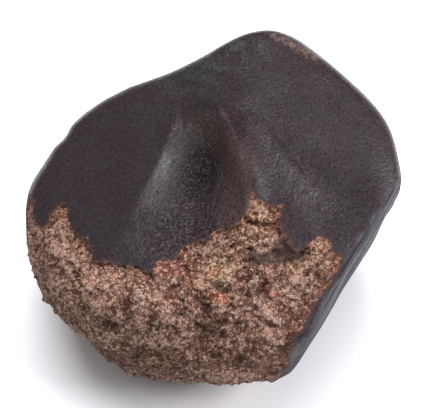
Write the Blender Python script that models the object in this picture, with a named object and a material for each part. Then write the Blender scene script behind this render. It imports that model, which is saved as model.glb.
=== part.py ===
"""A crusted stony meteorite with one broken side, modelled as a single closed stone.

The shape is worked out along rays from a point inside the stone, its heart. A ball is trimmed by
broad faces with softened edges, thumbprint hollows and ridges are pressed in, and the broken side
is set back behind the ragged edge of the dark crust. The stone rests on a small flat.

X runs along the stone's longest side, the broken side faces -Y, and Z is up.
"""

import math

import bmesh
import bpy
import numpy as np
from mathutils import Vector, noise

MM = 0.001

# Driving sizes, in millimetres
HEART = (-0.12, -1.06, 26.0)
BALL_RADIUS = 40.7
UNDERSIDE_SPARE = 0.3

# The crust's gentle swells: height in mm, wavelength in mm, octaves, place in the noise
SWELLS = (0.35, 14.0, 2, 3.0)

# The broken side: how far it lies below the crust, how wide the step down is, and its lumps
CRUST_STEP = 0.8
EDGE_RAMP = 0.7
LUMPS = (0.75, 7.0, 4, 12.0)
LUMPS_START = 3.0
# Crags of the broken side, parted by creases, and how high they stand in mm
CRAGS = (1.3, 5.0, 3, 21.0)
CRAG_LEVEL = 0.3

# How ragged the crust's edge is, in small teeth and, underneath, in broad bays
TEETH = (0.7, 3.0, 3, 11.0)
BAYS = (4.0, 14.0, 2, 5.0)

# The viewpoint that the crust's edge is laid out from: degrees above the horizon on the broken
# side, and mm from the heart
VIEW_RISE = 50.0
VIEW_DISTANCE = 420.0

# How finely the ball is divided, the triangles that are kept, and the angle in degrees at which
# an edge between two of them is sharp
BALL_SUBDIVISIONS = 7
STONE_TRIANGLES = 9400
FACET_ANGLE = 40.0

# The broad faces. Bearings are degrees anticlockwise in plan from +X, the stone's right-hand end,
# and rises are degrees above the horizon.
# name: bearing, rise, distance from the heart in mm, softening of its edges in mm
FACES = {
    "top right": (-42.0, 67.0, 21.5, 5.0),
    "top left": (-150.0, 68.0, 20.5, 6.0),
    "front shoulder": (-72.0, 48.0, 25.5, 3.0),
    "back right rim": (43.0, 30.0, 39.4, 3.0),
    "back rim": (121.0, 35.5, 30.2, 3.8),
    "top tip": (84.0, 36.0, 38.8, 3.0),
    "left rim": (151.0, 22.0, 34.1, 3.0),
    "left": (181.0, 6.0, 39.4, 1.8),
    "back": (115.0, -10.0, 33.0, 8.0),
    "back right": (40.0, -15.0, 37.5, 6.0),
    "right": (-28.9, -9.5, 32.75, 0.5),
    "right tip": (5.5, 6.0, 40.1, 1.5),
    "front": (-92.0, 5.0, 36.5, 6.0),
    "left low": (-141.5, -27.5, 40.15, 3.0),
    "front low": (-98.0, -38.0, 38.3, 5.0),
    "right low": (-25.0, -48.0, 30.5, 6.0),
    "back low": (80.0, -40.0, 34.0, 8.0),
    "under front": (-95.0, -79.0, 28.7, 3.0),
    "under left": (168.0, -66.0, 28.5, 6.0),
    "under right": (-10.0, -68.0, 28.5, 6.0),
    "under back": (65.0, -62.0, 29.0, 6.0),
}
# A ray this nearly along a face, as the cosine of its angle from square, isn't trimmed closer
LEAST_FACING = 0.05

# Thumbprint hollows, and ridges as hollows of negative depth, each along a bowed line between two
# points near the surface, in mm from the heart. Left and right are as seen from outside, going
# from start to end. The bed's power is 1 for a V and 2 for a bowl, and a rim's power is 1 for a
# crisp rim and 2 for a soft one.
# name: start, end, bow to the right, reach left, reach right, narrowing towards the start, bed,
# rim left, rim right, run past its ends, depth
HOLLOWS = {
    "main hollow": (
        (-5.0, 4.5, 20.5), (-14.0, -28.5, 11.0), 7.0, 14.2, 9.6, 0.7, 1.5, 1.0, 1.0, 7.5, 8.5,
    ),
    "crest": ((1.5, 8.5, 24.0), (8.0, -12.5, 18.0), 1.6, 4.0, 7.0, 0.0, 2.0, 2.0, 2.0, 4.0, -1.3),
    "streak": ((9.5, 3.0, 21.0), (19.0, -8.0, 15.0), 0.0, 4.5, 2.2, 0.0, 2.0, 2.0, 1.5, 5.0, -0.5),
    "back edge dip": (
        (-6.0, 12.0, 22.0), (-6.0, 26.0, 18.0), 0.0, 13.0, 12.0, 0.0, 2.0, 1.4, 1.0, 6.0, 1.6,
    ),
    "edge nick": ((-30.0, 8.0, 13.0), (-33.0, 12.0, 8.0), 0.0, 3.0, 3.0, 0.0, 2.0, 1.5, 1.5, 3.0, 0.5),
    "long groove": (
        (19.5, -22.5, 9.0), (5.0, -31.5, 5.0), 0.5, 3.5, 3.0, 0.0, 2.0, 1.5, 1.2, 2.5, 1.3,
    ),
    "short groove": (
        (23.5, -24.0, 5.5), (14.0, -31.0, 2.5), 0.0, 2.5, 3.0, 0.0, 2.0, 1.2, 1.5, 2.0, 0.9,
    ),
    "low step": (
        (-12.0, -36.0, 3.0), (8.0, -36.0, -2.0), 1.5, 5.0, 3.0, 0.0, 2.0, 2.0, 1.2, 4.0, 1.0,
    ),
    "left knob": (
        (-37.0, -12.0, -3.0), (-34.0, -19.0, -10.0), 0.0, 4.0, 4.0, 0.0, 2.0, 1.5, 1.5, 3.0, -0.6,
    ),
    "low knob": (
        (-20.0, -29.0, -17.0), (-13.0, -32.0, -19.0), 0.0, 4.0, 4.0, 0.0, 2.0, 1.5, 1.5, 3.0, -0.6,
    ),
    "low right knob": (
        (7.0, -35.0, -16.0), (12.0, -34.0, -17.0), 0.0, 3.0, 3.0, 0.0, 2.0, 1.5, 1.5, 3.0, -0.5,
    ),
    "back print": (
        (1.0, 30.0, 0.0), (-14.0, 26.0, -7.0), 1.0, 11.0, 12.0, 0.0, 2.0, 2.0, 1.5, 8.0, 2.0,
    ),
    "left print": (
        (-26.0, 19.0, 4.0), (-33.0, 8.0, -8.0), 0.0, 9.0, 10.0, 0.0, 2.0, 2.0, 1.5, 7.0, 1.5,
    ),
    "right print": (
        (14.0, 33.0, -2.0), (30.0, 20.0, -5.0), 0.0, 10.0, 11.0, 0.0, 2.0, 2.0, 1.5, 7.0, 1.6,
    ),
    "end print": (
        (36.0, 4.0, -4.0), (29.0, -2.0, -14.0), 0.0, 8.0, 8.0, 0.0, 2.0, 2.0, 2.0, 6.0, 0.9,
    ),
    "low print": (
        (8.0, 22.0, -18.0), (-12.0, 18.0, -19.0), 0.0, 10.0, 9.0, 0.0, 2.0, 2.0, 1.5, 7.0, 1.7,
    ),
}
# How softly a hollow's narrowing sets in, and the least share of its width that is left
TAPER_ROUNDING = 0.2
LEAST_WIDTH = 0.1

# The crust's edge on the broken side, left to right as seen from the viewpoint, in mm right of and
# above the heart, closed far below the stone
CRUST_EDGE = [
    (-60.0, 1.5), (-39.0, 1.5), (-36.9, -3.8), (-34.6, -3.0), (-32.9, -0.2), (-31.4, -0.2),
    (-30.3, -5.1), (-29.0, -7.2), (-27.1, -7.2), (-25.7, -11.9), (-20.4, -12.7), (-14.6, -14.0),
    (-12.9, -14.8), (-11.0, -11.9), (-8.1, -11.4), (-6.4, -9.1), (-1.7, -7.2), (1.3, -5.5),
    (4.5, -4.5), (7.4, -1.1), (8.9, 2.5), (10.6, 3.0), (13.1, 2.1), (14.2, 0.0), (13.8, -3.6),
    (15.5, -7.4), (18.0, -10.4), (19.7, -10.0), (20.1, -8.7), (22.7, -7.0), (24.4, -7.8),
    (25.2, -10.2), (26.9, -11.2), (26.9, -12.5), (22.7, -18.2), (20.8, -21.2), (17.0, -28.2),
    (15.1, -34.3), (12.1, -37.0), (11.0, -60.0), (-60.0, -60.0),
]
# The broken side's end underneath: a slanting plane, as bearing, rise and mm from the heart
BREAK_END = (-105.0, 15.0, 13.0)


def heading(bearing, rise):
    """Unit vector for a bearing and a rise in degrees."""
    b, r = math.radians(bearing), math.radians(rise)
    return np.array([math.cos(b) * math.cos(r), math.sin(b) * math.cos(r), math.sin(r)])


def soft_min(a, b, width):
    """The smaller of two distances, blended where they differ by less than width."""
    share = np.clip(0.5 + 0.5 * (b - a) / width, 0.0, 1.0)
    return b * (1.0 - share) + a * share - width * share * (1.0 - share)


def smooth_step(x):
    """From 0 to 1 as x does, with no corner at either end."""
    x = np.clip(x, 0.0, 1.0)
    return x * x * (3.0 - 2.0 * x)


def waves(points, height, wavelength, octaves, place):
    """Smooth random heights in mm at points in mm."""
    shift = Vector((place, -place, 2.0 * place))
    spots = [Vector(point) / wavelength + shift for point in points]
    return height * np.array([noise.fractal(spot, 1.0, 2.0, octaves) for spot in spots])


def trimmed_ball(rays):
    """Distance from the heart to the ball's trimmed surface along each ray."""
    reach = np.full(len(rays), BALL_RADIUS)
    for bearing, rise, distance, softening in FACES.values():
        facing = rays @ heading(bearing, rise)
        reach = soft_min(reach, distance / np.maximum(facing, LEAST_FACING), softening)
    return reach


def hollow_depth(
    points, start, end, bow, left, right, narrowing, bed, rim_left, rim_right, run_out, depth
):
    """How far one hollow sinks at each point."""
    start, end = np.array(start), np.array(end)
    middle = (start + end) / 2.0
    length = np.linalg.norm(end - start)
    along = (end - start) / length
    outward = middle / np.linalg.norm(middle)
    across = np.cross(outward, along)
    across /= np.linalg.norm(across)
    away = points - middle
    s = away @ along / (length / 2.0 + run_out)
    t = away @ across - bow * (1.0 - s * s)
    height = away @ outward / (length / 2.0 + left + right)
    on_left = t < 0.0
    towards_start = (np.hypot(s, TAPER_ROUNDING) - s) / 2.0
    taper = np.maximum(1.0 - narrowing * towards_start, LEAST_WIDTH)
    t = t / (np.where(on_left, left, right) * taper)
    profile = np.clip(1.0 - np.abs(t) ** bed, 0.0, None) ** np.where(on_left, rim_left, rim_right)
    ends = np.clip(1.0 - s**4, 0.0, None) ** 2
    return depth * profile * ends * np.clip(1.0 - height * height, 0.0, None)


def seen_from_viewpoint(points):
    """Right and up of the heart, in mm, where the viewpoint sees each point."""
    toward = heading(-90.0, VIEW_RISE)
    upward = heading(90.0, 90.0 - VIEW_RISE)
    scale = VIEW_DISTANCE / (VIEW_DISTANCE - points @ toward)
    return np.stack([points[:, 0] * scale, points @ upward * scale], axis=1)


def inside_outline(points, outline):
    """Distance in mm inside a closed outline, negative outside it."""
    corners = np.array(outline)
    nearest = np.full(len(points), np.inf)
    inside = np.zeros(len(points), bool)
    for a, b in zip(corners, np.roll(corners, -1, axis=0)):
        edge = b - a
        away = points - a
        share = np.clip(away @ edge / (edge @ edge), 0.0, 1.0)
        nearest = np.minimum(nearest, np.linalg.norm(away - share[:, None] * edge, axis=1))
        if edge[1]:
            crosses = (a[1] > points[:, 1]) != (b[1] > points[:, 1])
            inside ^= crosses & (away[:, 0] < away[:, 1] * edge[0] / edge[1])
    return np.where(inside, nearest, -nearest)


def into_break(points):
    """Distance in mm from the crust's edge into the broken side, negative on the crust."""
    bearing, rise, distance = BREAK_END
    upper = inside_outline(seen_from_viewpoint(points), CRUST_EDGE)
    lower = points @ heading(bearing, rise) - distance + waves(points, *BAYS)
    return np.minimum(upper, lower) + waves(points, *TEETH)


def stone_points(rays):
    """Points of the stone's surface along the rays, in mm from the heart."""
    reach = trimmed_ball(rays)
    points = rays * reach[:, None]
    for hollow in HOLLOWS.values():
        reach = reach - hollow_depth(points, *hollow)
    points = rays * reach[:, None]
    broken = into_break(points)
    lumps = waves(points, *LUMPS) + CRAG_LEVEL - np.abs(waves(points, *CRAGS))
    lumps = lumps * smooth_step(broken / LUMPS_START)
    reach = reach + waves(points, *SWELLS)
    reach = reach + smooth_step(broken / EDGE_RAMP + 0.5) * (lumps - CRUST_STEP)
    underside = (HEART[2] + UNDERSIDE_SPARE) / np.maximum(-rays[:, 2], 1e-6)
    return rays * np.minimum(reach, underside)[:, None]


def fine_mesh():
    """The whole stone as a fine mesh, in metres, its underside a little below the resting plane."""
    mesh = bpy.data.meshes.new("stone")
    bm = bmesh.new()
    bmesh.ops.create_icosphere(bm, subdivisions=BALL_SUBDIVISIONS, radius=1.0)
    rays = np.array([vertex.co[:] for vertex in bm.verts])
    rays /= np.linalg.norm(rays, axis=1)[:, None]
    for vertex, point in zip(bm.verts, stone_points(rays) + HEART):
        vertex.co = Vector(point * MM)
    bm.to_mesh(mesh)
    bm.free()
    return mesh


def thinned(mesh):
    """The same stone in fewer triangles, kept where its form is sharpest."""
    stone = bpy.data.objects.new("thinning", mesh)
    bpy.context.scene.collection.objects.link(stone)
    thin = stone.modifiers.new("thin", "DECIMATE")
    thin.ratio = STONE_TRIANGLES / len(mesh.polygons)
    seen = stone.evaluated_get(bpy.context.evaluated_depsgraph_get())
    result = bpy.data.meshes.new_from_object(seen)
    bpy.data.objects.remove(stone)
    bpy.data.meshes.remove(mesh)
    return result


def cut_rest_flat(mesh):
    """Slice the underside off along the resting plane, and close it with one flat."""
    bm = bmesh.new()
    bm.from_mesh(mesh)
    whole = bm.verts[:] + bm.edges[:] + bm.faces[:]
    cut = bmesh.ops.bisect_plane(
        bm, geom=whole, plane_co=(0, 0, 0), plane_no=(0, 0, 1), clear_inner=True, dist=1e-6
    )
    rim = [item for item in cut["geom_cut"] if isinstance(item, bmesh.types.BMEdge)]
    bmesh.ops.triangle_fill(bm, use_beauty=True, edges=rim, normal=(0, 0, -1))
    bmesh.ops.recalc_face_normals(bm, faces=bm.faces[:])
    bm.to_mesh(mesh)
    bm.free()


def crust_material():
    """The dark fusion crust that covers most of the stone."""
    material = bpy.data.materials.new("fusion crust")
    material.use_nodes = True
    shader = material.node_tree.nodes["Principled BSDF"]
    shader.inputs["Base Color"].default_value = (0.05, 0.04, 0.043, 1.0)
    shader.inputs["Roughness"].default_value = 0.5
    shader.inputs["Metallic"].default_value = 0.0
    return material


def main():
    """Clear the scene and model the stone."""
    for obj in list(bpy.data.objects):
        bpy.data.objects.remove(obj)
    mesh = thinned(fine_mesh())
    cut_rest_flat(mesh)
    mesh.shade_smooth()
    mesh.set_sharp_from_angle(angle=math.radians(FACET_ANGLE))
    mesh.materials.append(crust_material())
    stone = bpy.data.objects.new("stone", mesh)
    bpy.context.scene.collection.objects.link(stone)


if __name__ == "__main__":
    main()
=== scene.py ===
"""Finished looks of a crusted stony meteorite with one broken side.

The stone is made anew on the frame's solid, in far finer detail: the same ball trimmed by broad
faces, with the same hollows and the same ragged edge of the crust, and then the grains, pits and
ledges of the broken side and the wrinkles of the melted crust.
"""

import math

import bmesh
import bpy
import numpy as np
from bpy.props import FloatProperty, FloatVectorProperty, PointerProperty
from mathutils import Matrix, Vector, noise
from mathutils.bvhtree import BVHTree


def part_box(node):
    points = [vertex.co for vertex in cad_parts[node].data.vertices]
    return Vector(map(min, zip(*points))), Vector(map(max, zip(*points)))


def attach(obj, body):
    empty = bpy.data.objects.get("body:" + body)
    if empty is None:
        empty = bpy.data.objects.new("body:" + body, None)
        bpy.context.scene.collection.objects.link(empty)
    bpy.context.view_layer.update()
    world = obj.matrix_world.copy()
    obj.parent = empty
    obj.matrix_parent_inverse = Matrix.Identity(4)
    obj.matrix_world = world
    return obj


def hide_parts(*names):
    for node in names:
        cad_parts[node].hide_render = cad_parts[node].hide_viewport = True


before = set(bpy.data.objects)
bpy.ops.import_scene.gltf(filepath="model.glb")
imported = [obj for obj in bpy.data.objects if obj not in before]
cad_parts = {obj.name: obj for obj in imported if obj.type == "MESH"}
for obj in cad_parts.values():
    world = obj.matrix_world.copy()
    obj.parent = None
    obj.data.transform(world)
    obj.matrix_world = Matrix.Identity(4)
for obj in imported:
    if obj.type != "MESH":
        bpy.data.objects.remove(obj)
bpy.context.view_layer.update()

bl_info = {
    "name": "Stony meteorite",
    "version": (1, 0, 0),
    "blender": (4, 5, 0),
    "location": "3D View > Sidebar > Meteorite",
    "description": "Makes a crusted stony meteorite with one broken side, and its studio",
    "category": "Object",
}

STONE_NODE = "stone"
BODY = "root"
MM = 0.001

# The photograph's frame, in pixels, the stone's heart in it, and the real size of one pixel there
PHOTO_WIDTH = 432
PHOTO_HEIGHT = 408
HEART_PIXEL = (213.0, 206.0)
PIXEL_MM = 0.212
# The camera's bearing from the heart in degrees, and the opposite one, that its upward side faces
CAMERA_BEARING = -90.0
UPWARD_BEARING = 90.0
# The camera's sensor in mm, and the nearest that it sees, in metres
SENSOR_WIDTH = 36.0
CLIP_START = 0.01

# The heart is the point inside the stone that its shape is worked out from, in millimetres
HEART = (-0.12, -1.06, 26.0)
BALL_RADIUS = 40.7

# Smooth random heights: height in mm, wavelength in mm, octaves, place in the noise
SWELLS = (0.35, 14.0, 2, 3.0)
LUMPS = (0.75, 7.0, 4, 12.0)
TEETH = (0.7, 3.0, 3, 11.0)
BAYS = (4.0, 14.0, 2, 5.0)
CRAGS = (1.3, 5.0, 3, 21.0)
# How high the crags of the broken side stand, in mm, and how far into the broken side the lumps,
# ledges and crags are full
CRAG_LEVEL = 0.3
LUMPS_START = 3.0

# name: bearing, rise, distance from the heart in mm, softening of its edges in mm
FACES = {
    "top right": (-42.0, 67.0, 21.5, 5.0),
    "top left": (-150.0, 68.0, 20.5, 6.0),
    "front shoulder": (-72.0, 48.0, 25.5, 3.0),
    "back right rim": (43.0, 30.0, 39.4, 3.0),
    "back rim": (121.0, 35.5, 30.2, 3.8),
    "top tip": (84.0, 36.0, 38.8, 3.0),
    "left rim": (151.0, 22.0, 34.1, 3.0),
    "left": (181.0, 6.0, 39.4, 1.8),
    "back": (115.0, -10.0, 33.0, 8.0),
    "back right": (40.0, -15.0, 37.5, 6.0),
    "right": (-28.9, -9.5, 32.75, 0.5),
    "right tip": (5.5, 6.0, 40.1, 1.5),
    "front": (-92.0, 5.0, 36.5, 6.0),
    "left low": (-141.5, -27.5, 40.15, 3.0),
    "front low": (-98.0, -38.0, 38.3, 5.0),
    "right low": (-25.0, -48.0, 30.5, 6.0),
    "back low": (80.0, -40.0, 34.0, 8.0),
    "under front": (-95.0, -79.0, 28.7, 3.0),
    "under left": (168.0, -66.0, 28.5, 6.0),
    "under right": (-10.0, -68.0, 28.5, 6.0),
    "under back": (65.0, -62.0, 29.0, 6.0),
}
# A ray this nearly along a face, as the cosine of its angle from square, isn't trimmed closer
LEAST_FACING = 0.05

# name: start, end, bow to the right, reach left, reach right, narrowing towards the start, bed,
# rim left, rim right, run past its ends, depth; in mm from the heart, a ridge having a negative
# depth, a bed's power being 1 for a V and 2 for a bowl, a rim's 1 for crisp and 2 for soft
HOLLOWS = {
    "main hollow": (
        (-5.0, 4.5, 20.5), (-14.0, -28.5, 11.0), 7.0, 14.2, 9.6, 0.7, 1.5, 1.0, 1.0, 7.5, 8.5,
    ),
    "crest": ((1.5, 8.5, 24.0), (8.0, -12.5, 18.0), 1.6, 4.0, 5.5, 0.0, 2.0, 2.0, 2.0, 3.0, -1.2),
    "streak": ((9.5, 3.0, 21.0), (19.0, -8.0, 15.0), 0.0, 4.5, 2.2, 0.0, 2.0, 2.0, 1.5, 5.0, -0.5),
    "back edge dip": (
        (-6.0, 12.0, 22.0), (-6.0, 26.0, 18.0), 0.0, 13.0, 12.0, 0.0, 2.0, 1.4, 1.0, 10.0, 1.0,
    ),
    "edge nick": (
        (-30.0, 8.0, 13.0), (-33.0, 12.0, 8.0), 0.0, 3.0, 3.0, 0.0, 2.0, 1.5, 1.5, 3.0, 0.5,
    ),
    "long groove": (
        (19.5, -22.5, 9.0), (5.0, -31.5, 5.0), 0.5, 3.5, 3.0, 0.0, 2.0, 1.5, 1.2, 2.5, 1.3,
    ),
    "short groove": (
        (23.5, -24.0, 5.5), (14.0, -31.0, 2.5), 0.0, 2.5, 3.0, 0.0, 2.0, 1.2, 1.5, 2.0, 0.9,
    ),
    "low step": (
        (-12.0, -36.0, 3.0), (8.0, -36.0, -2.0), 1.5, 5.0, 3.0, 0.0, 2.0, 2.0, 1.2, 4.0, 1.0,
    ),
    "left knob": (
        (-37.0, -12.0, -3.0), (-34.0, -19.0, -10.0), 0.0, 4.0, 4.0, 0.0, 2.0, 1.5, 1.5, 3.0, -0.6,
    ),
    "low knob": (
        (-20.0, -29.0, -17.0), (-13.0, -32.0, -19.0), 0.0, 4.0, 4.0, 0.0, 2.0, 1.5, 1.5, 3.0, -0.6,
    ),
    "low right knob": (
        (7.0, -35.0, -16.0), (12.0, -34.0, -17.0), 0.0, 3.0, 3.0, 0.0, 2.0, 1.5, 1.5, 3.0, -0.5,
    ),
    "back print": (
        (1.0, 30.0, 0.0), (-14.0, 26.0, -7.0), 1.0, 11.0, 12.0, 0.0, 2.0, 2.0, 1.5, 8.0, 2.0,
    ),
    "left print": (
        (-26.0, 19.0, 4.0), (-33.0, 8.0, -8.0), 0.0, 9.0, 10.0, 0.0, 2.0, 2.0, 1.5, 7.0, 1.5,
    ),
    "right print": (
        (14.0, 33.0, -2.0), (30.0, 20.0, -5.0), 0.0, 10.0, 11.0, 0.0, 2.0, 2.0, 1.5, 7.0, 1.6,
    ),
    "end print": (
        (36.0, 4.0, -4.0), (29.0, -2.0, -14.0), 0.0, 8.0, 8.0, 0.0, 2.0, 2.0, 2.0, 6.0, 0.9,
    ),
    "low print": (
        (8.0, 22.0, -18.0), (-12.0, 18.0, -19.0), 0.0, 10.0, 9.0, 0.0, 2.0, 2.0, 1.5, 7.0, 1.7,
    ),
}
# How softly a hollow's narrowing sets in, and the least share of its width that is left
TAPER_ROUNDING = 0.2
LEAST_WIDTH = 0.1

# The crust's edge on the broken side, left to right as the camera sees it, in mm right of and
# above the heart, closed far below the stone
CRUST_EDGE = [
    (-60.0, 1.5), (-39.0, 1.5), (-36.9, -3.8), (-34.6, -3.0), (-32.9, -0.2), (-31.4, -0.2),
    (-30.3, -5.1), (-29.0, -7.2), (-27.1, -7.2), (-25.7, -11.9), (-20.4, -12.7), (-14.6, -14.0),
    (-12.9, -14.8), (-11.0, -11.9), (-8.1, -11.4), (-6.4, -9.1), (-1.7, -7.2), (1.3, -5.5),
    (4.5, -4.5), (7.4, -1.1), (8.9, 2.5), (10.6, 3.0), (13.1, 2.1), (14.2, 0.0), (13.8, -3.6),
    (15.5, -7.4), (18.0, -10.4), (19.7, -10.0), (20.1, -8.7), (22.7, -7.0), (24.4, -7.8),
    (25.2, -10.2), (26.9, -11.2), (26.9, -12.5), (22.7, -18.2), (20.8, -21.2), (17.0, -28.2),
    (15.1, -34.3), (12.1, -37.0), (11.0, -60.0), (-60.0, -60.0),
]
# The broken side's end underneath: a slanting plane, as bearing, rise and mm from the heart
BREAK_END = (-105.0, 15.0, 13.0)

# Wrinkles of the crust: the main hollow's heading in degrees, the share that they are drawn out
# along it by, their wavelength in mm, octaves and place in the noise, and how soon they are full
WRINKLE_HEADING = (-103.6, -14.1)
WRINKLE_STRETCH = 0.6
WRINKLES = (1.5, 3, 9.0)
WRINKLE_GAIN = 1.6

# Raised grains: their place in the noise, how far their centres are spread to tell them apart, how
# much they are crowned, and how far from their edges the crown rises
GRAIN_PLACE = 4.0
GRAIN_SPREAD = 7.3
GRAIN_CROWN = 0.8
GRAIN_CROWN_REACH = 0.4

# The coarse ball is divided this often, and once more where the stone is broken and this far round
# it, where the main hollow is deeper than this, and along the right face's ridge, between these
# two distances inside the face's plane, all in mm
BALL_SUBDIVISIONS = 7
FINE_MARGIN = 1.5
FINE_HOLLOW = 0.4
RIDGE_FLAT = 0.02
RIDGE_MARGIN = 1.2
# The finished surface may stray this far from the frame's solid, in mm
STRAY_LIMIT = 3.0

# The right-hand face is streaked along its ridge: the streaks' heading, in degrees, how far they
# are drawn out, and how far the face's crust may lie inside its plane, in mm
STREAK_HEADING = (-122.0, -18.0)
STREAK_STRETCH = 0.88
SIDE_DEPTH = 0.9

# The back and the flanks are duller than the top: the top's heading, how far a surface turns away
# from it, as a cosine, before it is dull, and over what span
TOP_FACING = (-90.0, 60.0)
FLANK_START = 0.5
FLANK_BLEND = 0.4

# Where the key light stands, seen from the heart, and its size, in metres; both lights' colour
KEY_DIRECTION = (0.85, -0.15, 0.50)
KEY_DISTANCE = 0.8
KEY_SIZE = 0.4
KEY_COLOUR = (0.96, 0.95, 1.0)
# Where the fill light stands, seen from the heart, and its size, in metres; it gives no glare
FILL_DIRECTION = (-0.08, 0.42, 0.9)
FILL_DISTANCE = 1.2
FILL_SIZE = 1.1
# The room's light at the horizon, as a share, and the sine of the rise where it is full
HORIZON_SHARE = 0.1
ROOM_FULL_RISE = 0.7

# Ripples of the fracture: their centre as the camera sees it and their spacing, in mm, how they
# wander and come and go, as smooth random heights, where a ledge turns back and where its middle
# lies, as shares of the spacing, and how much of the stone shows them
RIPPLE_CENTRE = (2.0, 12.0)
RIPPLE_SPACING = 1.9
RIPPLE_WANDER = (1.3, 6.0, 2, 13.0)
RIPPLE_PRESENCE = (1.0, 8.0, 2, 17.0)
RIPPLE_TURN = 0.72
RIPPLE_MIDDLE = 0.4
RIPPLE_SHOWN = 0.6

# Marks along short stretches, as the camera sees them: start and end right of and above the
# heart, and radius, in mm, and strength
WORN_MARKS = [
    ((13.0, 36.4), (22.0, 31.6), 2.0, 0.75),
    ((2.5, 36.8), (11.0, 37.2), 0.8, 0.45),
    ((20.0, 10.3), (25.3, 8.3), 1.0, 0.45),
    ((-39.0, 2.4), (-38.6, 1.8), 0.7, 0.6),
]
RUST_MARKS = [
    ((1.9, 20.2), (3.4, 17.8), 1.5, 0.7),
    ((3.4, 17.8), (6.6, 7.5), 1.3, 0.55),
    ((20.0, 10.3), (25.3, 8.3), 1.1, 0.4),
    ((2.6, 25.0), (4.0, 24.6), 0.6, 0.45),
]
# A drop of crust left on the broken side, and how far from the crust's edge it may lie, in mm
DROPS = [
    ((-37.3, -1.4), (-36.3, -2.8), 1.3, 1.0),
]
DROP_DEPTH = 3.5

# Pits and lumps of the broken side, in the same way, their strength being their depth or height
PITS = [
    ((19.4, -9.6), (20.3, -10.4), 1.2, 1.4),
    ((7.8, -3.8), (11.7, -4.6), 0.7, 0.8),
    ((6.8, -20.4), (8.7, -24.4), 2.2, 0.5),
    ((-3.4, -19.9), (-0.8, -24.6), 1.6, 0.6),
    ((9.8, -24.4), (13.1, -26.5), 1.3, 0.7),
    ((-3.4, -26.5), (1.5, -28.4), 1.3, 0.6),
    ((18.2, -17.6), (20.6, -21.2), 1.1, 0.9),
    ((13.5, -10.5), (17.5, -12.5), 1.6, 0.5),
    ((-22.0, -22.0), (-12.0, -25.0), 1.5, 0.4),
    ((-31.0, -13.0), (-27.0, -19.0), 1.5, 0.5),
]
LUMPS_SEEN = [
    ((20.8, -7.8), (23.4, -9.2), 1.9, 0.9),
    ((12.5, -18.2), (22.4, -11.4), 2.2, 0.7),
    ((-0.8, -13.6), (0.8, -15.9), 1.8, 0.5),
    ((-1.5, -18.2), (2.5, -21.0), 1.7, 0.6),
    ((9.5, -21.4), (14.0, -29.0), 2.3, 0.5),
    ((7.0, 0.5), (10.5, -1.5), 2.2, 0.5),
    ((-33.0, -9.0), (-27.0, -17.0), 2.5, 0.6),
    ((-24.0, -17.0), (-14.0, -20.0), 2.2, 0.5),
    ((-5.0, -35.0), (7.0, -36.0), 1.4, 0.5),
]
# The hollow's dark wall: browner crust, partly painted light that makes the shaded wall lighter
WALL_BROWN_AND_LIGHT_MARKS = [
    ((-1.5, 17.0), (4.5, 10.5), 4.5, 0.7),
    ((4.5, 10.5), (4.0, -2.0), 4.5, 0.9),
]
GREY_MARKS = [
    ((-2.0, 29.5), (8.0, 34.5), 6.5, 1.0),
    ((-9.0, 25.5), (-2.0, 29.5), 4.5, 0.6),
]
WRINKLED_MARKS = [
    ((7.0, 16.0), (17.5, 5.0), 6.0, 0.45),
    ((17.5, 5.0), (27.0, -4.0), 6.5, 0.3),
    ((-8.0, 14.0), (6.0, 20.0), 6.0, 0.6),
]
DULL_MARKS = [
    ((11.5, 3.0), (20.0, -9.0), 6.5, 0.75),
    ((16.0, 13.0), (29.0, 2.0), 5.0, 0.5),
    ((5.5, 18.0), (11.0, 9.0), 3.5, 0.6),
    ((18.0, 3.5), (22.0, -1.0), 4.0, 0.5),
    ((-12.5, -4.5), (-5.0, -8.0), 5.5, 0.55),
    ((31.5, 2.0), (25.0, -9.0), 8.0, 0.7),
]
STAINED_MARKS = [
    ((8.5, -11.8), (18.5, -10.8), 2.0, 0.8),
    ((14.5, -8.0), (19.0, -10.8), 1.8, 0.8),
]
OCHRE_MARKS = [
    ((9.0, -5.0), (2.5, -13.0), 5.0, 1.0),
    ((-2.0, -12.0), (1.0, -15.5), 2.0, 0.6),
    ((13.0, -14.5), (18.0, -12.0), 2.0, 0.4),
]
RED_MARKS = [
    ((-0.8, -13.8), (0.8, -15.7), 1.3, 1.0),
    ((-1.3, -18.7), (2.8, -20.8), 1.4, 0.9),
    ((11.2, -17.4), (13.6, -19.5), 1.3, 0.9),
    ((17.8, -13.8), (19.3, -15.1), 0.9, 0.7),
    ((-2.2, -25.5), (-1.2, -26.8), 1.1, 0.8),
    ((-11.2, -12.9), (-9.5, -15.3), 1.4, 0.8),
    ((-8.1, -9.8), (-3.8, -16.7), 2.4, 0.7),
]
# Paler stone, and painted light where they lie on the tops of the raised lumps
PALE_AND_LIT_MARKS = [
    ((0.4, -7.2), (4.0, -14.0), 3.2, 0.8),
    ((9.5, -22.0), (13.8, -28.4), 3.0, 0.8),
    ((18.4, -11.9), (15.3, -19.9), 2.4, 0.9),
    ((-4.9, -35.8), (7.8, -36.9), 1.4, 0.8),
    ((9.0, 2.0), (10.5, -1.5), 1.8, 0.8),
]
# Darker stone, and painted shade in the pits, along the long groove and along the bottom of the
# broken side
DARK_AND_SHADE_MARKS = [
    ((-2.8, -20.4), (-1.5, -24.2), 2.2, 0.9),
    ((10.2, -24.8), (12.7, -26.1), 1.2, 0.7),
    ((-3.0, -27.0), (1.5, -28.0), 1.8, 0.7),
    ((19.7, -11.4), (13.1, -16.1), 1.4, 0.8),
    ((13.1, -16.1), (7.6, -20.6), 1.4, 0.8),
    ((8.0, -3.6), (11.7, -4.1), 0.8, 1.0),
    ((-8.1, -9.8), (-4.8, -15.0), 2.4, 0.8),
    ((-25.0, -33.5), (10.0, -33.5), 4.0, 0.8),
    ((17.5, -23.0), (14.5, -30.5), 2.8, 0.8),
    ((-19.0, -13.5), (-13.0, -15.5), 1.2, 0.7),
]

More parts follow.
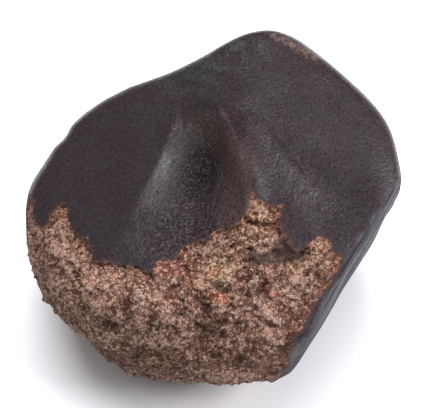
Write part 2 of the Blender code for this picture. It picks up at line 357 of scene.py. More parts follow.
# The marks, by the name of the surface's field that they make
SEEN_MARKS = {
    "worn": WORN_MARKS, "rust": RUST_MARKS, "brown": WALL_BROWN_AND_LIGHT_MARKS, "grey": GREY_MARKS,
    "dull": DULL_MARKS, "stained": STAINED_MARKS, "ochre": OCHRE_MARKS, "red": RED_MARKS,
    "pale": PALE_AND_LIT_MARKS, "dark": DARK_AND_SHADE_MARKS,
}
# They fade out on the stone's far side: the heading that they are seen from, and over how many mm
SEEN_HEADING = (-90.0, 50.0)
SEEN_BLEND = 5.0

# Soft noise in the stone's colours and sheen: waves per mm, octaves, roughness
PATCH_CLOUDS = (0.14, 4.0, 0.6)
TOP_GREY_CLOUDS = (0.35, 4.0, 0.6)
MOTTLE_CLOUDS = (2.2, 3.0, 0.6)
GLINT_CLOUDS = (2.1, 3.0, 0.8)
SPECK_CLOUDS = (1.7, 2.0)
RUST_CLOUDS = (2.4, 2.0, 0.6)
WORN_CLOUDS = (1.1, 5.0, 0.8)
GRAIN_CLOUDS = (1.3, 5.0, 0.75)
TONE_CLOUDS = (0.25, 2.0)
RED_CLOUDS = (0.5, 3.0, 0.6)
OCHRE_CLOUDS = (0.7, 3.0)
GREY_CLOUDS = (0.3, 3.0, 0.6)
EDGE_CLOUDS = (1.6, 4.0, 0.65)
RIM_CLOUDS = (0.9, 2.0)
STREAK_CLOUDS = (1.3, 4.0, 0.7)
PORE_CLOUDS = (1.5, 4.0, 0.65)
WRINKLE_CLOUDS = (0.85, 4.0, 0.72)
SHEEN_CLOUDS = (2.4, 3.0, 0.7)
BAND_CLOUDS = (0.5, 3.0)

# Where that noise, or one of the surface's fields, sets in and is full, and the values there
PATCH_RAMP = (0.4, 0.6)
TOP_GREY_RAMP = (0.35, 0.7)
MOTTLE_RAMP = (0.3, 0.7, 0.3, 1.9)
GLINT_RAMP = (0.5, 0.62)
HOLLOW_RAMP = (0.5, 1.0)
SPECK_RAMP = (0.64, 0.74, 0.0, 0.35)
RUST_RAMP = (1.0, 1.3)
WORN_RAMP = (1.45, 2.4)
BROWN_RAMP = (0.1, 0.5)
TAN_RAMP = (0.45, 0.9)
PALE_RAMP = (0.9, 1.35)
RED_RAMP = (0.52, 0.8, 0.0, 0.8)
OCHRE_RAMP = (0.35, 0.6)
GREY_RAMP = (0.5, 0.66, 0.0, 0.7)
STAIN_RAMP = (0.3, 1.5, 0.6, 0.0)
EDGE_RAMP = (0.35, 0.55)
RIM_RAMP = (-0.3, 0.35)
PORE_RAMP = (0.3, 0.7, 0.22, 0.34)
SHEEN_RAMP = (0.38, 0.62, -0.06, 0.14)
BAND_RAMP = (0.3, 0.7, 0.15, 0.8)
DULL_EDGE_RAMP = (-0.8, 0.1)
CRUST_BUMP_RAMP = (0.0, 1.0, 0.16, 1.0)
DULL_TINT_RAMP = (0.0, 1.0, 1.0, 0.25)

# Cracks between the grains: cells per mm, width as a share, depth; and how far they are bent, in
# mm, by noise of so many waves per mm and octaves
GRAIN_CELLS = 1.7
CRACKS = ((1.7, 0.14, 0.2), (0.75, 0.09, 0.25))
CRACK_BEND = 0.9
CRACK_BEND_CLOUDS = (1.6, 2.0)
# What makes a grain darker or paler: its cell, its height (partly painted shade in its low places),
# broad noise, painted shade and light from the relief, and marks (partly painted shade and light)
TONE_FLOOR = -1.94
TONE_AND_SHADE_OF_HEIGHT = 2.6
TONE_OF_CELL = 0.8
TONE_OF_CLOUDS = 0.5
PAINTED_SHADE_OF_RELIEF = 0.3
TONE_OF_PALE_AND_LIGHT = 0.35
TONE_OF_DARK_AND_SHADE = -0.4
RED_SHARE = 0.2
# How patchily the crust is worn, and how far its edge is frayed, in mm
WORN_PATCHINESS = 2.0
EDGE_FRAYING = 1.6
# Roughness added on the flanks and next to the broken side, and that of the broken side
FLANK_ROUGHNESS = 0.5
DULL_EDGE_ROUGHNESS = 0.3
BROKEN_ROUGHNESS = 0.9
# Heights of the finest relief in mm, and the strength of the stone's gloss
BUMP_HEIGHT = 0.8
WRINKLE_BUMP_HEIGHT = 1.0
GLOSS = 0.5


class MeteoriteStoneSettings(bpy.types.PropertyGroup):
    """Sizes of the stone's relief."""

    crust_step: FloatProperty(
        name="Crust step", description="How far the broken side lies below the crust",
        default=0.0008, min=0.0, max=0.003, precision=5, unit="LENGTH", subtype="DISTANCE",
    )
    edge_ramp: FloatProperty(
        name="Edge ramp", description="Width of the step at the crust's edge",
        default=0.0007, min=0.0001, max=0.003, precision=5, unit="LENGTH", subtype="DISTANCE",
    )
    grain_size: FloatProperty(
        name="Grain size", description="Size of the raised grains on the broken side",
        default=0.0012, min=0.0004, max=0.004, precision=5, unit="LENGTH", subtype="DISTANCE",
    )
    grain_height: FloatProperty(
        name="Grain height", description="How far the grains of the broken side stand up",
        default=0.00034, min=0.0, max=0.001, precision=5, unit="LENGTH", subtype="DISTANCE",
    )
    ripple_height: FloatProperty(
        name="Ripple height", description="Height of the ledges where the stone split",
        default=0.0006, min=0.0, max=0.002, precision=5, unit="LENGTH", subtype="DISTANCE",
    )
    wrinkle_height: FloatProperty(
        name="Wrinkle height", description="Height of the wrinkles in the hollow's crust",
        default=0.0003, min=0.0, max=0.0005, precision=5, unit="LENGTH", subtype="DISTANCE",
    )


class MeteoriteColourSettings(bpy.types.PropertyGroup):
    """Colours of the crust and of the broken side."""

    crust: FloatVectorProperty(
        name="Crust", description="Dark melted crust", subtype="COLOR", size=3,
        default=(0.0158, 0.0078, 0.0100), min=0.0, max=1.0,
    )
    crust_grey: FloatVectorProperty(
        name="Grey crust", description="Greener, greyer parts of the crust", subtype="COLOR",
        size=3, default=(0.0135, 0.0095, 0.0118), min=0.0, max=1.0,
    )
    # Browner crust, partly painted light: lighter than the crust to stand in for light on the
    # hollow's shaded wall
    crust_brown_and_painted_light: FloatVectorProperty(
        name="Brown crust and painted light", description="Browner crust, made lighter by painted light, on the hollow's dark wall", subtype="COLOR",
        size=3, default=(0.046, 0.028, 0.025), min=0.0, max=1.0,
    )
    # Lighter green-grey crust near the top
    crust_top_grey: FloatVectorProperty(
        name="Top grey crust", description="Lighter green-grey crust near the top", subtype="COLOR",
        size=3, default=(0.025, 0.026, 0.028), min=0.0, max=1.0,
    )
    # Painted reflection: a bluish tint on the right-hand face, standing in for the bluish light that
    # it reflects
    crust_painted_blue_reflection: FloatVectorProperty(
        name="Painted bluish reflection", description="Painted bluish reflection on the right side", subtype="COLOR",
        size=3, default=(0.0125, 0.0108, 0.0165), min=0.0, max=1.0,
    )
    # Painted highlight: light specks on the hollow's wrinkles that stand in for the key light's
    # glints
    painted_glint: FloatVectorProperty(
        name="Painted glints", description="Painted glints on the wrinkles in the hollow",
        subtype="COLOR", size=3, default=(0.082, 0.067, 0.069), min=0.0, max=1.0,
    )
    crust_rust: FloatVectorProperty(
        name="Rusty crust", description="Rusty specks and the crust's edge", subtype="COLOR",
        size=3, default=(0.072, 0.034, 0.026), min=0.0, max=1.0,
    )
    worn: FloatVectorProperty(
        name="Worn crust", description="Brown where the crust is worn through", subtype="COLOR",
        size=3, default=(0.205, 0.13, 0.095), min=0.0, max=1.0,
    )
    matrix: FloatVectorProperty(
        name="Matrix", description="Dark stone between the grains", subtype="COLOR", size=3,
        default=(0.072, 0.022, 0.010), min=0.0, max=1.0,
    )
    brown: FloatVectorProperty(
        name="Brown grains", description="Brown grains", subtype="COLOR", size=3,
        default=(0.125, 0.052, 0.031), min=0.0, max=1.0,
    )
    tan: FloatVectorProperty(
        name="Tan grains", description="Pale tan grains", subtype="COLOR", size=3,
        default=(0.24, 0.13, 0.086), min=0.0, max=1.0,
    )
    pale: FloatVectorProperty(
        name="Pale grains", description="Palest pinkish grains", subtype="COLOR", size=3,
        default=(0.52, 0.34, 0.25), min=0.0, max=1.0,
    )
    orange: FloatVectorProperty(
        name="Orange grains", description="Rusty orange grains", subtype="COLOR", size=3,
        default=(1.3, 0.82, 0.68), min=0.0, max=2.0,
    )
    ochre: FloatVectorProperty(
        name="Ochre grains", description="Yellower grains", subtype="COLOR", size=3,
        default=(1.08, 1.06, 0.86), min=0.0, max=2.0,
    )
    stain: FloatVectorProperty(
        name="Stained grains", description="Red-brown stain next to the crust", subtype="COLOR",
        size=3, default=(0.72, 0.5, 0.46), min=0.0, max=2.0,
    )
    smear: FloatVectorProperty(
        name="Smeared crust", description="Thin dark smear of crust over the grains",
        subtype="COLOR", size=3, default=(0.055, 0.032, 0.028), min=0.0, max=1.0,
    )
    grey: FloatVectorProperty(
        name="Grey grains", description="Grey grains", subtype="COLOR", size=3,
        default=(0.95, 1.02, 1.02), min=0.0, max=2.0,
    )


class MeteoriteStageSettings(bpy.types.PropertyGroup):
    """The floor, the lights and the camera."""

    floor_width: FloatProperty(
        name="Floor width", description="Width of the pale floor", default=3.0, min=0.5, max=20.0,
        unit="LENGTH", subtype="DISTANCE",
    )
    floor_colour: FloatVectorProperty(
        name="Floor colour", description="Pale floor", subtype="COLOR", size=3,
        default=(0.92, 0.92, 0.93), min=0.0, max=1.0,
    )
    key_power: FloatProperty(
        name="Key light", description="Power of the soft light at the right", default=7.5,
        min=0.0, max=200.0, unit="POWER",
    )
    fill_power: FloatProperty(
        name="Fill light", description="Power of the wide light overhead", default=25.0,
        min=0.0, max=200.0, unit="POWER",
    )
    room_strength: FloatProperty(
        name="Room light", description="Strength of the white room's light", default=0.5,
        min=0.0, max=5.0, subtype="FACTOR",
    )
    camera_rise: FloatProperty(
        name="Camera rise", description="Camera's angle above the horizon",
        default=math.radians(50.0), min=0.0, max=math.radians(89.0), subtype="ANGLE",
    )
    camera_distance: FloatProperty(
        name="Camera distance", description="Distance from the stone's heart to the camera",
        default=0.42, min=0.15, max=5.0, unit="LENGTH", subtype="DISTANCE",
    )


def heading(bearing, rise):
    """Unit vector for a bearing and a rise in degrees."""
    b, r = math.radians(bearing), math.radians(rise)
    return np.array([math.cos(b) * math.cos(r), math.sin(b) * math.cos(r), math.sin(r)])


def soft_min(a, b, width):
    """The smaller of two distances, blended where they differ by less than width."""
    share = np.clip(0.5 + 0.5 * (b - a) / width, 0.0, 1.0)
    return b * (1.0 - share) + a * share - width * share * (1.0 - share)


def smooth_step(x):
    """From 0 to 1 as x does, with no corner at either end."""
    x = np.clip(x, 0.0, 1.0)
    return x * x * (3.0 - 2.0 * x)


def waves(points, height, wavelength, octaves, place):
    """Smooth random heights in mm at points in mm."""
    shift = Vector((place, -place, 2.0 * place))
    spots = [Vector(point) / wavelength + shift for point in points]
    return height * np.array([noise.fractal(spot, 1.0, 2.0, octaves) for spot in spots])


def cells(points, size, place):
    """Random cells: how far each point is from its cell's edge, and the cell's own number."""
    shift = Vector((place, -place, 2.0 * place))
    depth = np.empty(len(points))
    number = np.empty(len(points))
    for i, point in enumerate(points):
        distances, centres = noise.voronoi(Vector(point) / size + shift)
        depth[i] = distances[1] - distances[0]
        number[i] = noise.cell(centres[0] * GRAIN_SPREAD)
    return depth, number


def trimmed_ball(rays):
    """Distance from the heart to the ball's trimmed surface along each ray."""
    reach = np.full(len(rays), BALL_RADIUS)
    for bearing, rise, distance, softening in FACES.values():
        facing = rays @ heading(bearing, rise)
        reach = soft_min(reach, distance / np.maximum(facing, LEAST_FACING), softening)
    return reach


def hollow_depth(
    points, start, end, bow, left, right, narrowing, bed, rim_left, rim_right, run_out, depth
):
    """How far one hollow sinks at each point."""
    start, end = np.array(start), np.array(end)
    middle = (start + end) / 2.0
    length = np.linalg.norm(end - start)
    along = (end - start) / length
    outward = middle / np.linalg.norm(middle)
    across = np.cross(outward, along)
    across /= np.linalg.norm(across)
    away = points - middle
    s = away @ along / (length / 2.0 + run_out)
    t = away @ across - bow * (1.0 - s * s)
    height = away @ outward / (length / 2.0 + left + right)
    on_left = t < 0.0
    towards_start = (np.hypot(s, TAPER_ROUNDING) - s) / 2.0
    taper = np.maximum(1.0 - narrowing * towards_start, LEAST_WIDTH)
    t = t / (np.where(on_left, left, right) * taper)
    profile = np.clip(1.0 - np.abs(t) ** bed, 0.0, None) ** np.where(on_left, rim_left, rim_right)
    ends = np.clip(1.0 - s**4, 0.0, None) ** 2
    return depth * profile * ends * np.clip(1.0 - height * height, 0.0, None)


def seen_by_camera(points):
    """Right and up of the heart, in mm, where the photograph's camera sees each point."""
    stage = bpy.context.scene.meteorite_stage
    rise = math.degrees(stage.camera_rise)
    distance = stage.camera_distance / MM
    scale = distance / (distance - points @ heading(CAMERA_BEARING, rise))
    up = points @ heading(UPWARD_BEARING, 90.0 - rise)
    return np.stack([points[:, 0] * scale, up * scale], axis=1)


def inside_outline(points, outline):
    """Distance in mm inside a closed outline, negative outside it."""
    corners = np.array(outline)
    nearest = np.full(len(points), np.inf)
    inside = np.zeros(len(points), bool)
    for a, b in zip(corners, np.roll(corners, -1, axis=0)):
        edge = b - a
        away = points - a
        share = np.clip(away @ edge / (edge @ edge), 0.0, 1.0)
        nearest = np.minimum(nearest, np.linalg.norm(away - share[:, None] * edge, axis=1))
        if edge[1]:
            crosses = (a[1] > points[:, 1]) != (b[1] > points[:, 1])
            inside ^= crosses & (away[:, 0] < away[:, 1] * edge[0] / edge[1])
    return np.where(inside, nearest, -nearest)


def into_break(points):
    """Distance in mm from the crust's edge into the broken side, negative on the crust."""
    bearing, rise, distance = BREAK_END
    upper = inside_outline(seen_by_camera(points), CRUST_EDGE)
    lower = points @ heading(bearing, rise) - distance + waves(points, *BAYS)
    return np.minimum(upper, lower) + waves(points, *TEETH)


def marks(seen, places):
    """How strongly each point lies in any of the marks, from where the camera sees it."""
    strength = np.zeros(len(seen))
    for start, end, radius, most in places:
        start, end = np.array(start), np.array(end)
        away = seen - start
        share = np.clip(away @ (end - start) / ((end - start) @ (end - start)), 0.0, 1.0)
        away = np.linalg.norm(away - share[:, None] * (end - start), axis=1) / radius
        strength = np.maximum(strength, most * np.clip(1.0 - away * away, 0.0, 1.0))
    return strength


def ripples(points, seen):
    """Ledges round the point where the stone split: out slowly, and sharply back."""
    away = np.linalg.norm(seen - np.array(RIPPLE_CENTRE), axis=1) + waves(points, *RIPPLE_WANDER)
    share = away / RIPPLE_SPACING
    share -= np.floor(share)
    turned = smooth_step((share - RIPPLE_TURN) / (1.0 - RIPPLE_TURN))
    ledge = share * (1.0 - turned) - RIPPLE_MIDDLE
    return ledge * smooth_step(waves(points, *RIPPLE_PRESENCE) + RIPPLE_SHOWN)


def stone_surface(rays, stone):
    """Points of the stone's surface along the rays in mm from the heart, and its named fields."""
    reach = trimmed_ball(rays)
    points = rays * reach[:, None]
    sinks = {name: hollow_depth(points, *hollow) for name, hollow in HOLLOWS.items()}
    reach = reach - sum(sinks.values())
    points = rays * reach[:, None]
    seen = seen_by_camera(points)
    broken = into_break(points) - DROP_DEPTH * marks(seen, DROPS)
    inner = smooth_step(broken / LUMPS_START)
    lumps = waves(points, *LUMPS) * inner
    ledges = ripples(points, seen) * inner * stone.ripple_height / MM
    crags = (CRAG_LEVEL - np.abs(waves(points, *CRAGS))) * inner
    depth, number = cells(points, stone.grain_size / MM, GRAIN_PLACE)
    crown = GRAIN_CROWN * np.minimum(depth, GRAIN_CROWN_REACH)
    grains = (number - 0.5 + crown) * stone.grain_height / MM
    forms = marks(seen, LUMPS_SEEN) - marks(seen, PITS)
    wrinkled = sinks["main hollow"] / HOLLOWS["main hollow"][-1]
    wrinkled = np.clip(WRINKLE_GAIN * wrinkled, 0.0, 1.0)
    wrinkled = np.maximum(wrinkled, marks(seen, WRINKLED_MARKS))
    along = heading(*WRINKLE_HEADING)
    drawn = points - WRINKLE_STRETCH * (points @ along)[:, None] * along
    wrinkles = waves(drawn, stone.wrinkle_height / MM, *WRINKLES) * wrinkled
    bearing, rise, distance, _ = FACES["right"]
    side = smooth_step((points @ heading(bearing, rise) - distance) / SIDE_DEPTH + 1.0)
    step = smooth_step(broken / (stone.edge_ramp / MM) + 0.5)
    reach = reach + waves(points, *SWELLS) + wrinkles * (1.0 - step)
    relief = lumps + ledges + crags + grains + forms
    reach = reach + step * (relief - stone.crust_step / MM)
    fields = {"broken": broken, "relief": relief, "wrinkled": wrinkled, "side": side}
    facing = smooth_step(points @ heading(*SEEN_HEADING) / SEEN_BLEND + 1.0)
    for name, places in SEEN_MARKS.items():
        fields[name] = marks(seen, places) * facing
    return rays * reach[:, None], fields


def unit_rays(bm):
    """Directions of the ball's points from its middle."""
    rays = np.array([vertex.co[:] for vertex in bm.verts])
    return rays / np.linalg.norm(rays, axis=1)[:, None]


def divide_fine_parts(bm):
    """Divide the ball's triangles once more where the stone is broken, wrinkled or sharp."""
    rays = unit_rays(bm)
    points = rays * trimmed_ball(rays)[:, None]
    broken = into_break(points) > -FINE_MARGIN
    wrinkled = hollow_depth(points, *HOLLOWS["main hollow"]) > FINE_HOLLOW
    bearing, rise, distance, _ = FACES["right"]
    inside = distance - points @ heading(bearing, rise)
    ridge = (inside > RIDGE_FLAT) & (inside < RIDGE_MARGIN)
    fine = broken | wrinkled | ridge
    edges = [edge for edge in bm.edges if all(fine[vertex.index] for vertex in edge.verts)]
    bmesh.ops.subdivide_edges(bm, edges=edges, cuts=1)
    bmesh.ops.triangulate(bm, faces=[face for face in bm.faces if len(face.verts) > 3])


def stone_mesh(stone):
    """The finished surface, inside the frame's box, with its fields as attributes."""
    bm = bmesh.new()
    bmesh.ops.create_icosphere(bm, subdivisions=BALL_SUBDIVISIONS, radius=1.0)
    divide_fine_parts(bm)
    points, fields = stone_surface(unit_rays(bm), stone)
    low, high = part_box(STONE_NODE)
    places = np.clip((points + HEART) * MM, low, high)
    for vertex, place in zip(bm.verts, places):
        vertex.co = place
    mesh = bpy.data.meshes.new("meteorite")
    bm.to_mesh(mesh)
    bm.free()
    mesh.shade_smooth()
    facing = np.array([vertex.normal[:] for vertex in mesh.vertices]) @ heading(*TOP_FACING)
    flank = smooth_step((FLANK_START - facing) / FLANK_BLEND)
    fields["flank"] = flank * (1.0 - fields["wrinkled"]) * (1.0 - fields["side"])
    for name, values in fields.items():
        layer = mesh.attributes.new(name, "FLOAT", "POINT")
        layer.data.foreach_set("value", values.astype(np.float32))
    return mesh


def check_stray(mesh):
    """Stop if the finished surface strays from the frame's solid."""
    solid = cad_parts[STONE_NODE].data
    tree = BVHTree.FromPolygons(
        [vertex.co for vertex in solid.vertices], [face.vertices for face in solid.polygons]
    )
    stray = max(tree.find_nearest(vertex.co)[3] for vertex in mesh.vertices) / MM
    print(f"the surface strays {stray:.2f} mm from the solid at most, {len(mesh.polygons)} triangles")
    if stray > STRAY_LIMIT:
        raise RuntimeError(f"the surface strays {stray:.2f} mm from the solid")


class Nodes:
    """A material's node tree, written one node to a line."""

    def __init__(self, name):
        self.material = bpy.data.materials.new(name)
        self.material.use_nodes = True
        self.tree = self.material.node_tree
        self.tree.nodes.clear()

    def put(self, socket, value):
        """Link another node's output to a socket, or set its value."""
        if isinstance(value, bpy.types.NodeSocket):
            self.tree.links.new(value, socket)
        elif socket.type == "RGBA" and len(value) == 3:
            socket.default_value = (*value, 1.0)
        else:
            socket.default_value = value

    def add(self, kind, output=0, settings=(), **sockets):
        """Add a node, fill its sockets by name, and give back one of its outputs."""
        node = self.tree.nodes.new("ShaderNode" + kind)
        for name, value in dict(settings).items():
            setattr(node, name, value)
        for name, value in sockets.items():
            key = int(name[1:]) if name[1:].isdigit() else name.replace("_", " ")
            self.put(node.inputs[key], value)
        return node.outputs[output]

    def math(self, operation, a, b=0.0, c=0.0):
        """Arithmetic on up to three numbers."""
        return self.add("Math", settings={"operation": operation}, i0=a, i1=b, i2=c)

    def ramp(self, value, low, high, start=0.0, end=1.0):
        """Map low to high smoothly onto start to end, and no further."""
        return self.add(
            "MapRange", settings={"interpolation_type": "SMOOTHSTEP"},
            i0=value, i1=low, i2=high, i3=start, i4=end,
        )

    def blend(self, share, a, b):
        """Blend two numbers."""
        return self.add("Mix", settings={"data_type": "FLOAT"}, i0=share, i2=a, i3=b)

    def mix(self, share, a, b, blend="MIX"):
        """Blend two colours."""
        return self.add(
            "Mix", output=2, settings={"data_type": "RGBA", "blend_type": blend},
            i0=share, i6=a, i7=b,
        )

    def field(self, name):
        """One of the surface's own fields."""
        return self.add("Attribute", output=2, settings={"attribute_name": name})

    def clouds(self, place, scale, detail=2.0, roughness=0.5):
        """Soft noise from 0 to 1, at so many per mm."""
        return self.add(
            "TexNoise", Vector=place, Scale=scale, Detail=detail, Roughness=roughness
        )


def grey(n, value):
    """The same number for red, green and blue."""
    return n.add("CombineColor", i0=value, i1=value, i2=value)


def crust_colour(n, place, colours):
    """Purple-brown to grey crust with fine mottling, worn patches and rusty specks, painted glints in
    the hollow, a painted bluish reflection on the right-hand face and painted light on the hollow's
    browner wall.
    """
    patches = n.ramp(n.clouds(place, *PATCH_CLOUDS), *PATCH_RAMP)
    colour = n.mix(patches, colours.crust, colours.crust_grey)
    # Browner crust on the hollow's wall, partly painted light that makes the shaded wall lighter
    colour = n.mix(n.field("brown"), colour, colours.crust_brown_and_painted_light)
    # Painted reflection: bluish tint on the right-hand face for the bluish light that it reflects
    colour = n.mix(n.field("side"), colour, colours.crust_painted_blue_reflection)
    top_tint = n.math("MULTIPLY", n.field("grey"), n.ramp(n.clouds(place, *TOP_GREY_CLOUDS), *TOP_GREY_RAMP))
    colour = n.mix(top_tint, colour, colours.crust_top_grey)
    mottle = n.ramp(n.clouds(place, *MOTTLE_CLOUDS), *MOTTLE_RAMP)
    colour = n.mix(1.0, colour, grey(n, mottle), "MULTIPLY")
    # Painted highlight: light specks in the hollow, standing in for the key light's glints on its
    # wrinkles
    glints = n.ramp(n.clouds(place, *GLINT_CLOUDS), *GLINT_RAMP)
    hollow = n.ramp(n.field("wrinkled"), *HOLLOW_RAMP)
    colour = n.mix(n.math("MULTIPLY", hollow, glints), colour, colours.painted_glint)
    specks = n.ramp(n.clouds(place, *SPECK_CLOUDS), *SPECK_RAMP)
    colour = n.mix(specks, colour, colours.crust_rust)
    rust = n.ramp(n.math("ADD", n.field("rust"), n.clouds(place, *RUST_CLOUDS)), *RUST_RAMP)
    colour = n.mix(rust, colour, colours.crust_rust)
    patchy = n.clouds(place, *WORN_CLOUDS)
    worn = n.math("MULTIPLY_ADD", patchy, WORN_PATCHINESS, n.field("worn"))
    return n.mix(n.ramp(worn, *WORN_RAMP), colour, colours.worn)


def grains_height(n, place, bent):
    """Rough grains, parted by fine cracks, from 0 to about 1.3."""
    height = n.clouds(place, *GRAIN_CLOUDS)
    for scale, width, rise in CRACKS:
        edge = n.add(
            "TexVoronoi", settings={"feature": "DISTANCE_TO_EDGE"}, Vector=bent, Scale=scale
        )
        height = n.math("ADD", height, n.ramp(edge, 0.0, width, 0.0, rise))
    return height


def broken_colour(n, place, bent, height, colours):
    """Fine brown, tan and grey grains standing out of dark stone, rusty in patches, with painted
    shade in their low places, pits and grooves and painted light on their lumps.
    """
    cell = n.add("SeparateColor", i0=n.add("TexVoronoi", output=1, Vector=bent, Scale=GRAIN_CELLS))
    # The grains' own tone and cracks, partly painted shade: the height that the bump follows darkens
    # its low places
    tone = n.math("MULTIPLY_ADD", height, TONE_AND_SHADE_OF_HEIGHT, TONE_FLOOR)
    for part, weight in (
        (cell, TONE_OF_CELL),
        (n.clouds(place, *TONE_CLOUDS), TONE_OF_CLOUDS),
        # Painted shade in the relief's low places and painted light on its high ones
        (n.field("relief"), PAINTED_SHADE_OF_RELIEF),
        # Paler stone, and painted light on the tops of the raised lumps
        (n.field("pale"), TONE_OF_PALE_AND_LIGHT),
        # Darker stone, and painted shade in the pits, the long groove and along the bottom
        (n.field("dark"), TONE_OF_DARK_AND_SHADE),
    ):
        tone = n.math("MULTIPLY_ADD", part, weight, tone)
    colour = n.mix(n.ramp(tone, *BROWN_RAMP), colours.matrix, colours.brown)
    colour = n.mix(n.ramp(tone, *TAN_RAMP), colour, colours.tan)
    colour = n.mix(n.ramp(tone, *PALE_RAMP), colour, colours.pale)
    red = n.math("MULTIPLY_ADD", n.field("red"), RED_SHARE, n.clouds(place, *RED_CLOUDS))
    yellow = n.ramp(n.clouds(place, *OCHRE_CLOUDS), *OCHRE_RAMP)
    for share, tint in (
        (n.ramp(red, *RED_RAMP), colours.orange),
        (n.math("MULTIPLY", n.field("ochre"), yellow), colours.ochre),
        (n.ramp(n.clouds(place, *GREY_CLOUDS), *GREY_RAMP), colours.grey),
        (n.ramp(n.field("broken"), *STAIN_RAMP), colours.stain),
    ):
        colour = n.mix(share, colour, n.mix(1.0, colour, tint, "MULTIPLY"))
    return n.mix(n.field("stained"), colour, colours.smear)


def drawn_out(n, place):
    """Places drawn out along the right-hand face's streaks."""
    along = tuple(heading(*STREAK_HEADING))
    reach = n.add("VectorMath", output=1, settings={"operation": "DOT_PRODUCT"}, i0=place, i1=along)
    back = n.add(
        "VectorMath", settings={"operation": "SCALE"},
        i0=along, Scale=n.math("MULTIPLY", reach, -STREAK_STRETCH),
    )
    return n.add("VectorMath", settings={"operation": "ADD"}, i0=place, i1=back)


def crust_pores(n, place, drawn):
    """Height of the crust's finest relief: pores, wrinkles in the hollow, streaks on the side."""
    wrinkles = n.blend(
        n.field("wrinkled"), n.clouds(place, *PORE_CLOUDS), n.clouds(place, *WRINKLE_CLOUDS)
    )
    return n.blend(n.field("side"), wrinkles, n.clouds(drawn, *STREAK_CLOUDS))


def crust_roughness(n, place, drawn, pores, ragged):
    """Satin, with dull bands on the side, dull flanks and a dull edge next to the broken side."""
    rough = n.ramp(pores, *PORE_RAMP)
    rough = n.math("ADD", rough, n.ramp(n.clouds(place, *SHEEN_CLOUDS), *SHEEN_RAMP))
    bands = n.ramp(n.clouds(drawn, *BAND_CLOUDS), *BAND_RAMP)
    rough = n.math("ADD", rough, n.math("MULTIPLY", n.field("side"), bands))
    rough = n.math("MULTIPLY_ADD", n.field("flank"), FLANK_ROUGHNESS, rough)
    return n.math("MULTIPLY_ADD", n.ramp(ragged, *DULL_EDGE_RAMP), DULL_EDGE_ROUGHNESS, rough)


def stone_material(colours):
    """One material for crust and broken side, divided at the crust's ragged edge."""
    n = Nodes("meteorite stone")
    place = n.add(
        "VectorMath", settings={"operation": "SCALE"},
        i0=n.add("TexCoord", output=3), Scale=1.0 / MM,
    )
    drawn = drawn_out(n, place)
    frayed = n.clouds(place, *EDGE_CLOUDS)
    ragged = n.math("MULTIPLY_ADD", frayed, EDGE_FRAYING, n.field("broken"))
    share = n.ramp(ragged, *EDGE_RAMP)
    rim = n.math("MULTIPLY", n.ramp(ragged, *RIM_RAMP), n.clouds(place, *RIM_CLOUDS))
    crust = n.mix(rim, crust_colour(n, place, colours), colours.crust_rust)
    scale, detail = CRACK_BEND_CLOUDS
    warp = n.add("TexNoise", output=1, Vector=place, Scale=scale, Detail=detail)
    bent = n.add(
        "VectorMath", settings={"operation": "MULTIPLY_ADD"},
        i0=warp, i1=(CRACK_BEND, CRACK_BEND, CRACK_BEND), i2=place,
    )
    grains = grains_height(n, place, bent)
    colour = n.mix(share, crust, broken_colour(n, place, bent, grains, colours))
    pores = crust_pores(n, place, drawn)
    rough = n.blend(share, crust_roughness(n, place, drawn, pores, ragged), BROKEN_ROUGHNESS)
    relief = n.math("MAXIMUM", n.field("wrinkled"), n.field("side"))
    relief = n.math("MAXIMUM", relief, n.field("flank"))
    deep = n.ramp(n.field("wrinkled"), 0.0, 1.0, BUMP_HEIGHT * MM, WRINKLE_BUMP_HEIGHT * MM)
    crust_bump = n.add(
        "Bump", Strength=n.ramp(relief, *CRUST_BUMP_RAMP), Distance=deep, Height=pores
    )
    broken_bump = n.add("Bump", Strength=1.0, Distance=BUMP_HEIGHT * MM, Height=grains)
    normal = n.add(
        "Mix", output=1, settings={"data_type": "VECTOR"}, i0=share, i4=crust_bump, i5=broken_bump
    )
    shader = n.add(
        "BsdfPrincipled", Base_Color=colour, Roughness=rough, Normal=normal, Metallic=0.0,
        Specular_IOR_Level=GLOSS, Specular_Tint=grey(n, n.ramp(n.field("dull"), *DULL_TINT_RAMP)),
    )
    output = n.tree.nodes.new("ShaderNodeOutputMaterial")
    n.tree.links.new(shader, output.inputs["Surface"])
    return n.material


class METEORITE_OT_stone(bpy.types.Operator):
    """Make the finished stone in place of the frame's plain solid"""

    bl_idname = "meteorite.stone"
    bl_label = "Make the stone"

    def execute(self, context):
        scene = context.scene
        mesh = stone_mesh(scene.meteorite_stone)
        check_stray(mesh)
        mesh.materials.append(stone_material(scene.meteorite_colours))
        piece = bpy.data.objects.new("meteorite", mesh)
        scene.collection.objects.link(piece)
        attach(piece, BODY)
        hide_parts(STONE_NODE)
        return {"FINISHED"}


def floor_material(colour):
    """Matt, pale and even."""
    material = bpy.data.materials.new("pale floor")
    material.use_nodes = True
    shader = material.node_tree.nodes["Principled BSDF"]
    shader.inputs["Base Color"].default_value = (*colour, 1.0)
    shader.inputs["Roughness"].default_value = 1.0
    shader.inputs["Specular IOR Level"].default_value = 0.0
    return material


def add_floor(stage):
    """A plain floor under the stone."""
    half = stage.floor_width / 2.0
    corners = [(-half, -half, 0.0), (half, -half, 0.0), (half, half, 0.0), (-half, half, 0.0)]
    mesh = bpy.data.meshes.new("floor")
    mesh.from_pydata(corners, [], [(0, 1, 2, 3)])
    mesh.materials.append(floor_material(stage.floor_colour))
    floor = bpy.data.objects.new("floor", mesh)
    bpy.context.scene.collection.objects.link(floor)


def add_light(name, direction, distance, size, power):
    """A soft square light that faces the stone's heart."""
    light = bpy.data.lights.new(name, "AREA")
    light.energy = power
    light.color = KEY_COLOUR
    light.size = size
    lamp = bpy.data.objects.new(name, light)
    toward = Vector(direction).normalized()
    lamp.location = Vector(HEART) * MM + toward * distance
    lamp.rotation_euler = toward.to_track_quat("Z", "Y").to_euler()
    bpy.context.scene.collection.objects.link(lamp)
    return lamp


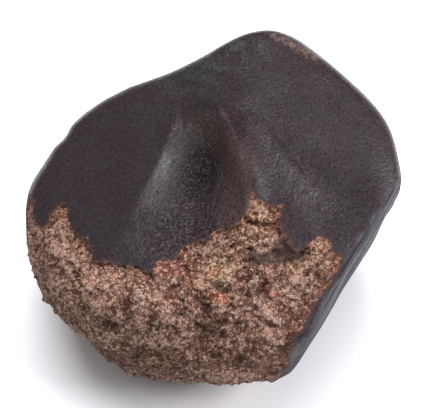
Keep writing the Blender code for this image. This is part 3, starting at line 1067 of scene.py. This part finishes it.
def add_room(strength):
    """White light from above, falling off towards the horizon."""
    world = bpy.data.worlds.new("white room")
    world.use_nodes = True
    tree = world.node_tree
    background = tree.nodes["Background"]
    background.inputs["Color"].default_value = (1.0, 1.0, 1.0, 1.0)
    direction = tree.nodes.new("ShaderNodeTexCoord")
    rise = tree.nodes.new("ShaderNodeSeparateXYZ")
    tree.links.new(direction.outputs["Generated"], rise.inputs["Vector"])
    falloff = tree.nodes.new("ShaderNodeMapRange")
    falloff.inputs["From Max"].default_value = ROOM_FULL_RISE
    falloff.inputs["To Min"].default_value = strength * HORIZON_SHARE
    falloff.inputs["To Max"].default_value = strength
    tree.links.new(rise.outputs["Z"], falloff.inputs["Value"])
    tree.links.new(falloff.outputs["Result"], background.inputs["Strength"])
    bpy.context.scene.world = world


def add_camera(stage):
    """The photograph's viewpoint, framed by a small turn away from the heart."""
    toward = Vector(heading(CAMERA_BEARING, math.degrees(stage.camera_rise)))
    upward = Vector(heading(UPWARD_BEARING, 90.0 - math.degrees(stage.camera_rise)))
    heart = Vector(HEART) * MM
    across = (PHOTO_WIDTH / 2.0 - HEART_PIXEL[0]) * PIXEL_MM * MM
    rise = (HEART_PIXEL[1] - PHOTO_HEIGHT / 2.0) * PIXEL_MM * MM
    aim = heart + Vector((across, 0.0, 0.0)) + upward * rise
    data = bpy.data.cameras.new("camera")
    data.sensor_width = SENSOR_WIDTH
    data.lens = SENSOR_WIDTH * stage.camera_distance / (PHOTO_WIDTH * PIXEL_MM * MM)
    data.clip_start = CLIP_START
    camera = bpy.data.objects.new("camera", data)
    camera.location = heart + toward * stage.camera_distance
    camera.rotation_euler = (camera.location - aim).to_track_quat("Z", "Y").to_euler()
    bpy.context.scene.collection.objects.link(camera)
    bpy.context.scene.camera = camera


class METEORITE_OT_stage(bpy.types.Operator):
    """Make the floor, the lights and the camera"""

    bl_idname = "meteorite.stage"
    bl_label = "Make the stage"

    def execute(self, context):
        stage = context.scene.meteorite_stage
        add_floor(stage)
        add_light("key", KEY_DIRECTION, KEY_DISTANCE, KEY_SIZE, stage.key_power)
        fill = add_light("fill", FILL_DIRECTION, FILL_DISTANCE, FILL_SIZE, stage.fill_power)
        fill.visible_glossy = False
        add_room(stage.room_strength)
        add_camera(stage)
        context.scene.view_settings.view_transform = "Standard"
        return {"FINISHED"}


class METEORITE_PT_panel(bpy.types.Panel):
    """The stone's sizes, colours and studio"""

    bl_label = "Meteorite"
    bl_space_type = "VIEW_3D"
    bl_region_type = "UI"
    bl_category = "Meteorite"

    def draw(self, context):
        scene = context.scene
        for title, group, operator in (
            ("Stone", scene.meteorite_stone, METEORITE_OT_stone),
            ("Colours", scene.meteorite_colours, METEORITE_OT_stone),
            ("Stage", scene.meteorite_stage, METEORITE_OT_stage),
        ):
            box = self.layout.box()
            box.label(text=title)
            for name in group.__annotations__:
                box.prop(group, name)
            box.operator(operator.bl_idname)


GROUPS = {
    "meteorite_stone": MeteoriteStoneSettings,
    "meteorite_colours": MeteoriteColourSettings,
    "meteorite_stage": MeteoriteStageSettings,
}
CLASSES = (*GROUPS.values(), METEORITE_OT_stone, METEORITE_OT_stage, METEORITE_PT_panel)


def register():
    """Register the classes and give the scene its settings."""
    for cls in CLASSES:
        bpy.utils.register_class(cls)
    for name, group in GROUPS.items():
        setattr(bpy.types.Scene, name, PointerProperty(type=group))


def unregister():
    """Take the settings and the classes away again."""
    for name in GROUPS:
        delattr(bpy.types.Scene, name)
    for cls in reversed(CLASSES):
        bpy.utils.unregister_class(cls)


def main():
    """Make the stone and its stage."""
    register()
    bpy.ops.meteorite.stone()
    bpy.ops.meteorite.stage()


if __name__ == "__main__":
    main()
